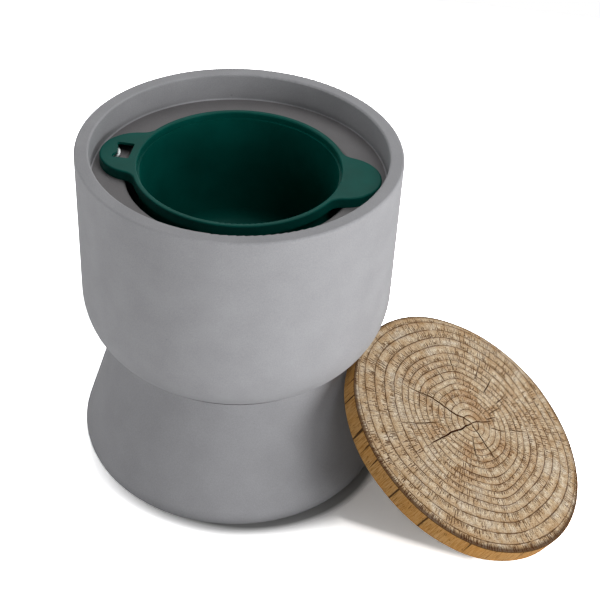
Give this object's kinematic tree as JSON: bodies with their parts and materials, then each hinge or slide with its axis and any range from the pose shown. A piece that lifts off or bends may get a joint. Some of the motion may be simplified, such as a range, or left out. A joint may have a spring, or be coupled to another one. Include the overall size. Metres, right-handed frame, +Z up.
{
  "type": "cooler table",
  "caption": "Round hourglass side table in cast fibre cement with a hanging plastic cooler bowl, a bottle opener in its ear, and a wood-slice lid leaning on it.",
  "frame": {"origin": "centre of the mouth in the underside of the base casting, on the table's axis, 3 mm above the floor", "axes": "+Z up along the table's axis, +X towards the bowl's plain ear, -X towards the ear with the bottle opener"},
  "size_m": [0.6191, 0.3974, 0.416],
  "materials": {
    "casting": "matte cast fibre cement, painted mid grey",
    "adhesive": "matte dark grey adhesive",
    "pad": "matte black rubber",
    "bowl": "satin green moulding with a fine grain",
    "steel": "brushed stainless steel",
    "lid": "oiled wood slice with dark rings and checks"
  },
  "bodies": {
    "table": {"upper_drum": "casting", "flared_base": "casting", "waist_bond": "adhesive", "foot_pad_1": "pad", "foot_pad_2": "pad", "foot_pad_3": "pad", "foot_pad_4": "pad"},
    "bowl": {"cooler_bowl": "bowl", "bottle_opener": "steel", "opener_screw_1": "steel", "opener_screw_2": "steel"},
    "lid": {"lid": "lid"}
  },
  "joints": [
    {"name": "bowl_lift", "type": "slide", "parent": "table", "child": "bowl", "axis": [0, 0, 1], "range_m": [0, 0.3]},
    {"name": "lid_lift", "type": "slide", "parent": "table", "child": "lid", "axis": [0.7544, -0.133, 0.6428], "range_m": [0, 0.3]}
  ]
}
